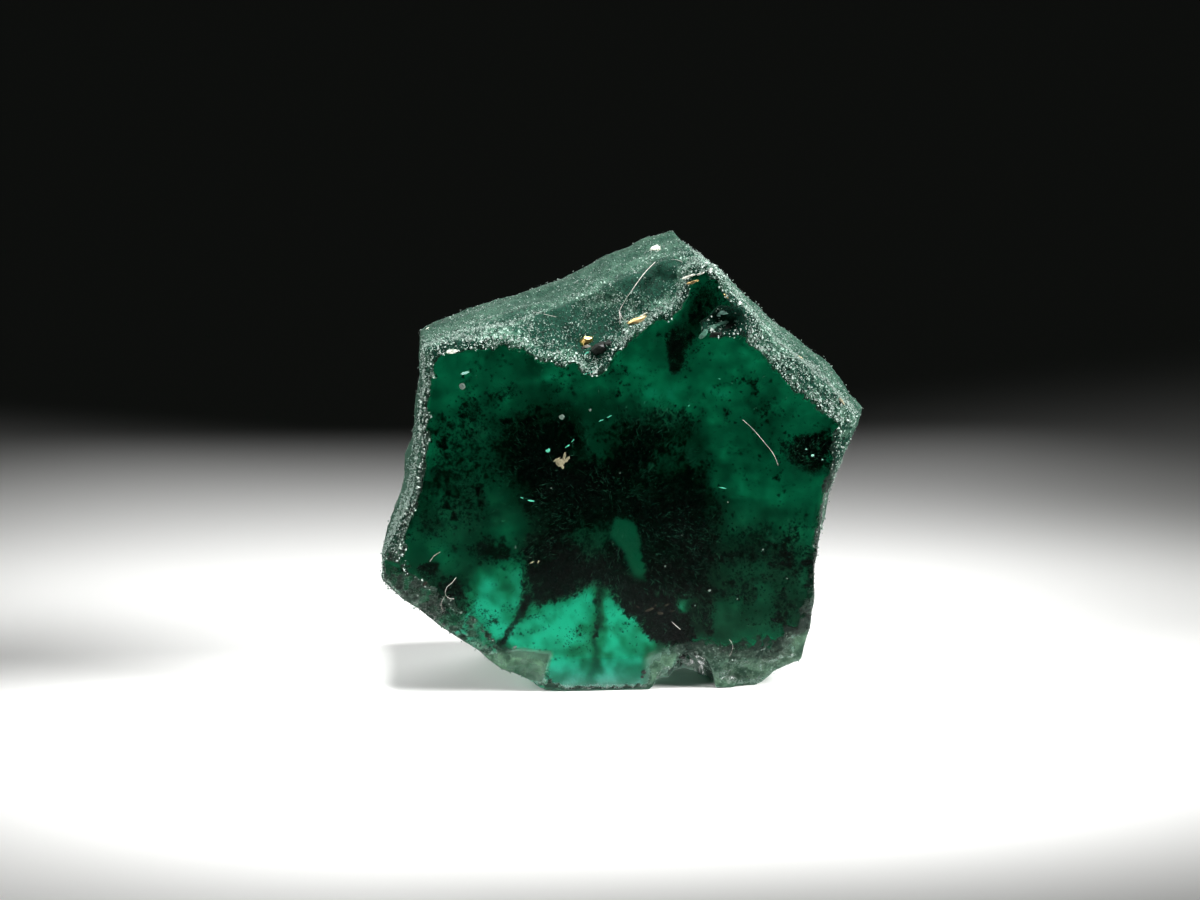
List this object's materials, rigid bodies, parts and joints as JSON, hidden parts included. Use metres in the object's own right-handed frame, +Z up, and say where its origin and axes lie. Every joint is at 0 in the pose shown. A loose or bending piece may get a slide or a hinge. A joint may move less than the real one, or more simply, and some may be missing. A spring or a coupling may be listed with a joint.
{
  "type": "trapiche emerald",
  "caption": "Rough trapiche emerald crystal slice with a dark core, green sectors, a glossy front face and frosted, chipped prism sides.",
  "frame": {"origin": "on the ground under the middle of the bounding box", "axes": "+Z up, the crystal's c-axis along Y with the glossy front face towards -Y, +X to the right seen from the front"},
  "size_m": [0.0094, 0.0042, 0.0081],
  "materials": {
    "emerald": "deep green see-through crystal with black carbon inclusions, glossy on the front face, frosted grey-green on the worn sides"
  },
  "bodies": {
    "root": {"emerald_crystal": "emerald"}
  },
  "joints": []
}
